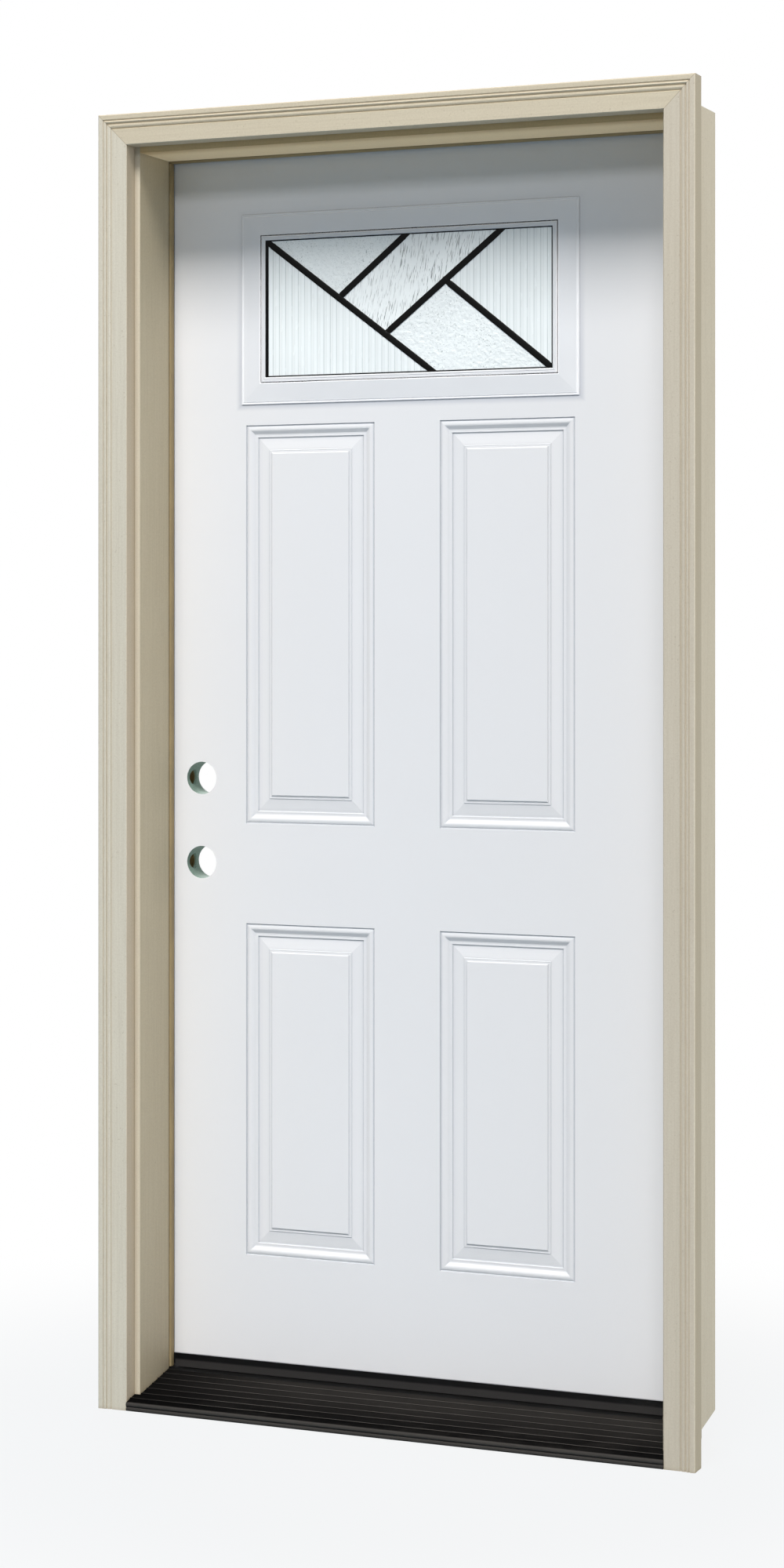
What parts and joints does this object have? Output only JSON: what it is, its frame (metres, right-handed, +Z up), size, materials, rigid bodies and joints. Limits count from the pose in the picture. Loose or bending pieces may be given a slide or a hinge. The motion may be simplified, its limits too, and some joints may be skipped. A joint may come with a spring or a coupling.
{
  "type": "steel entry door with frame",
  "caption": "Prehung in-swing steel entry door with embossed panels, a leaded glass lite, bored lock edge, hinges, weatherstripped jambs, brick moulding and a ribbed sill.",
  "frame": {"origin": "underside of the sill, midway between the jambs, in the plane of the brick moulding's back face", "axes": "+Z up, -Y towards the outside, +X towards the hinge side"},
  "size_m": [1.0132, 0.2116, 2.1056],
  "materials": {
    "casing": "factory primed smooth paint in beige",
    "jamb": "factory primed smooth paint in beige",
    "weatherstrip": "tan foam-filled seal with a matt skin",
    "sill_metal": "dark bronze finish, ribbed",
    "sill_substrate": "plain composite substrate",
    "threshold": "dark composite cap",
    "steel_skin": "smooth factory white prime coat",
    "stile_wood": "clear sealed softwood",
    "foam": "rigid foam",
    "lock_block": "green composite",
    "lite_frame": "smooth white moulded frame",
    "clear_glass": "clear tempered glass",
    "reeded_glass": "vertical flutes",
    "granite_glass": "fine pebbled texture",
    "rain_glass": "running rain texture",
    "came": "black patina came",
    "spacer": "dark edge spacer",
    "sweep": "black vinyl door bottom",
    "hinge_steel": "plated steel"
  },
  "bodies": {
    "frame": {"brickmould_lock_side": "casing", "brickmould_hinge_side": "casing", "brickmould_head": "casing", "jamb_lock_side": "jamb", "jamb_hinge_side": "jamb", "jamb_head": "jamb", "weatherstrip_lock_side": "weatherstrip", "weatherstrip_hinge_side": "weatherstrip", "weatherstrip_head": "weatherstrip", "sill_deck": "sill_metal", "sill_core": "sill_substrate", "threshold_cap": "threshold", "hinge_jamb_leaf_bottom": "hinge_steel", "hinge_pin_bottom": "hinge_steel", "hinge_jamb_leaf_middle": "hinge_steel", "hinge_pin_middle": "hinge_steel", "hinge_jamb_leaf_top": "hinge_steel", "hinge_pin_top": "hinge_steel"},
    "door": {"door_skin_exterior": "steel_skin", "door_skin_interior": "steel_skin", "door_core": "foam", "lock_stile": "stile_wood", "hinge_stile": "stile_wood", "top_rail": "stile_wood", "bottom_rail": "stile_wood", "lock_block": "lock_block", "lite_frame_exterior": "lite_frame", "lite_frame_interior": "lite_frame", "glass_pane_exterior": "clear_glass", "glass_pane_interior": "clear_glass", "glass_spacer": "spacer", "came_lattice": "came", "glass_reeded_lock_side": "reeded_glass", "glass_granite_upper": "granite_glass", "glass_rain_middle": "rain_glass", "glass_granite_lower": "granite_glass", "glass_reeded_hinge_side": "reeded_glass", "door_sweep": "sweep", "hinge_door_leaf_bottom": "hinge_steel", "hinge_door_leaf_middle": "hinge_steel", "hinge_door_leaf_top": "hinge_steel"}
  },
  "joints": [
    {"name": "door_swing", "type": "hinge", "parent": "frame", "child": "door", "pos_m": [0.4565, 0.1736, 0], "axis": [0, 0, -1], "range_deg": [0, 170]}
  ]
}
